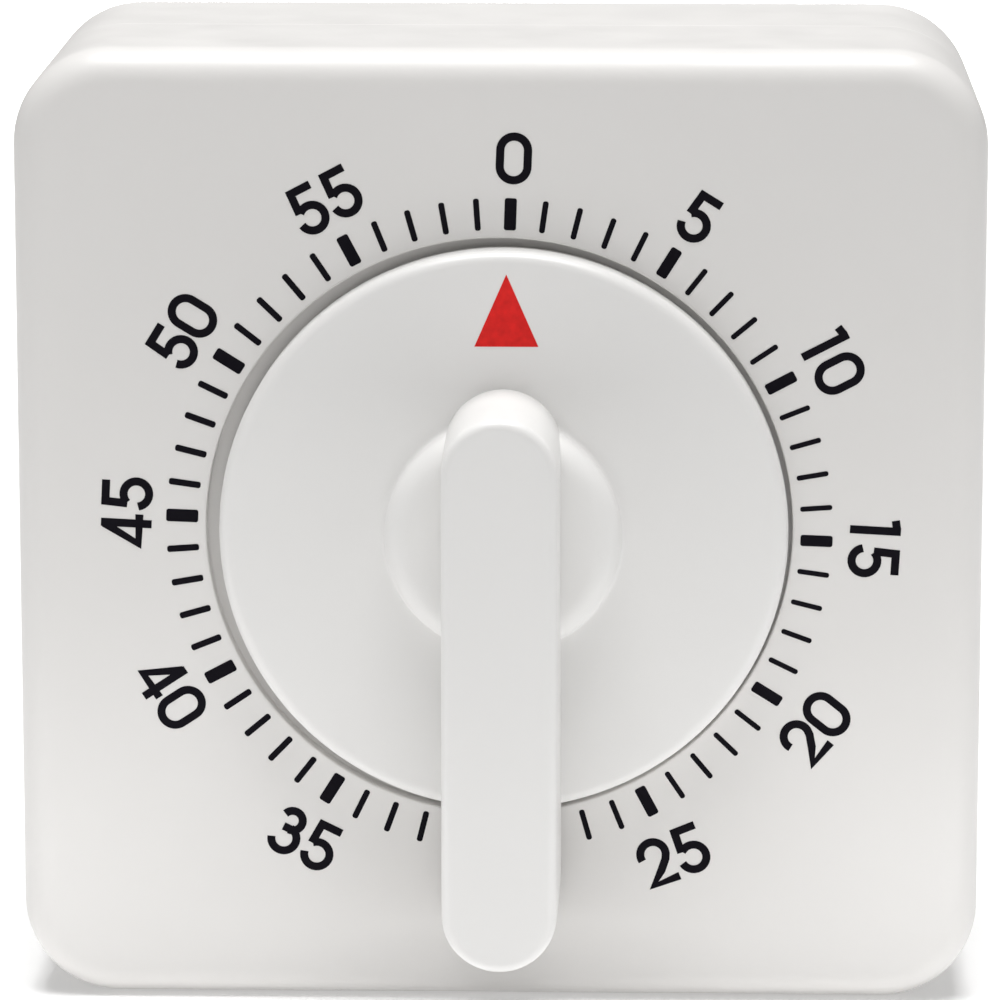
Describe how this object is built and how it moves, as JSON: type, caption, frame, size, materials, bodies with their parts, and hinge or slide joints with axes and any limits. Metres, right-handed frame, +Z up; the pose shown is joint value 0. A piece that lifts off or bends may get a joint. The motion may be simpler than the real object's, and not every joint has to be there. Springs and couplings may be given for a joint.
{
  "type": "kitchen timer",
  "caption": "Square clockwork kitchen timer with a round dial, a long hanging grip bar, a minute scale, a spring driven train and a bell.",
  "frame": {"origin": "centre of the flat bottom side the timer stands on, midway between its front and back faces", "axes": "+Z up; the dial faces -Y, towards the user; +X to the user's right"},
  "size_m": [0.07, 0.045, 0.07],
  "materials": {
    "white_abs": "satin",
    "knob_abs": "satin",
    "plated_steel": "nickel plated",
    "brass_sheet": "rolled sheet",
    "cut_brass": "stamped and brushed",
    "turned_steel": "turned",
    "blued_steel": "blued spring temper",
    "bell_steel": "nickel plated"
  },
  "bodies": {
    "case": {"front_case": "white_abs", "back_cover": "white_abs", "case_screws": "plated_steel", "movement_screws": "plated_steel", "front_plate": "brass_sheet", "back_plate": "brass_sheet", "plate_pillars": "turned_steel", "plate_screws": "plated_steel", "mainspring": "blued_steel", "bell": "bell_steel", "bell_post": "turned_steel", "bell_nut": "plated_steel", "detent_stud": "turned_steel", "detent_spring": "blued_steel", "hairspring": "blued_steel", "hairspring_stud": "turned_steel"},
    "dial": {"dial_knob": "knob_abs", "main_arbor": "turned_steel", "ratchet_wheel": "turned_steel", "release_cam": "turned_steel"},
    "main_wheel_set": {"main_wheel": "cut_brass", "click_stud": "turned_steel", "click_spring": "blued_steel"},
    "click_set": {"click": "turned_steel"},
    "second_set": {"second_arbor": "turned_steel", "second_wheel": "cut_brass"},
    "third_set": {"third_arbor": "turned_steel", "third_wheel": "cut_brass"},
    "escape_set": {"escape_arbor": "turned_steel", "escape_wheel": "cut_brass"},
    "pallet_set": {"pallet_lever": "cut_brass", "pallet_pins": "turned_steel"},
    "balance_set": {"balance_wheel": "cut_brass", "balance_staff": "turned_steel"},
    "strike_set": {"strike_arbor": "turned_steel", "strike_wheel": "cut_brass"},
    "hammer_set": {"hammer_arbor": "turned_steel", "hammer": "turned_steel"},
    "detent_set": {"detent_lever": "turned_steel"}
  },
  "joints": [
    {"name": "dial_turn", "type": "hinge", "parent": "case", "child": "dial", "pos_m": [0, 0, 0.0354], "axis": [0, 1, 0], "range_deg": [0, 360]},
    {"name": "main_wheel_turn", "type": "hinge", "parent": "case", "child": "main_wheel_set", "pos_m": [0, 0, 0.0354], "axis": [0, 1, 0], "range_deg": [0, 360]},
    {"name": "click_lift", "type": "hinge", "parent": "main_wheel_set", "child": "click_set", "pos_m": [-0.0043, 0, 0.04285], "axis": [0, -1, 0], "range_deg": [0, 5]},
    {"name": "second_wheel_turn", "type": "hinge", "parent": "case", "child": "second_set", "pos_m": [0.0175, 0, 0.0354], "axis": [0, 1, 0], "range_deg": [-2160, 0]},
    {"name": "third_wheel_turn", "type": "hinge", "parent": "case", "child": "third_set", "pos_m": [0.01555, 0, 0.04643], "axis": [0, 1, 0], "range_deg": [0, 12960]},
    {"name": "escape_wheel_turn", "type": "hinge", "parent": "case", "child": "escape_set", "pos_m": [0.00586, 0, 0.05203], "axis": [0, 1, 0], "range_deg": [-77760, 0]},
    {"name": "strike_wheel_turn", "type": "hinge", "parent": "case", "child": "strike_set", "pos_m": [-0.01416, 0, 0.02511], "axis": [0, 1, 0], "range_deg": [-2160, 0]},
    {"name": "balance_swing", "type": "hinge", "parent": "case", "child": "balance_set", "pos_m": [-0.00897, 0, 0.05388], "axis": [0, 1, 0], "range_deg": [-36, 36], "stiffness_Nm_per_rad": 0.000008},
    {"name": "pallet_rock", "type": "hinge", "parent": "case", "child": "pallet_set", "pos_m": [-0.0004, 0, 0.05313], "axis": [0, 1, 0], "range_deg": [-6, 6]},
    {"name": "hammer_swing", "type": "hinge", "parent": "case", "child": "hammer_set", "pos_m": [-0.022, 0, 0.0179], "axis": [0, 1, 0], "range_deg": [0, 4]},
    {"name": "detent_lift", "type": "hinge", "parent": "case", "child": "detent_set", "pos_m": [-0.012, 0, 0.0464], "axis": [0, 1, 0], "range_deg": [0, 2]}
  ],
  "couplings": [
    {"joint": "main_wheel_turn", "follows": "dial_turn", "ratio": 1},
    {"joint": "second_wheel_turn", "follows": "dial_turn", "ratio": -6},
    {"joint": "third_wheel_turn", "follows": "dial_turn", "ratio": 36},
    {"joint": "escape_wheel_turn", "follows": "dial_turn", "ratio": -216},
    {"joint": "strike_wheel_turn", "follows": "dial_turn", "ratio": -6},
    {"joint": "pallet_rock", "follows": "balance_swing", "ratio": -0.16216}
  ]
}
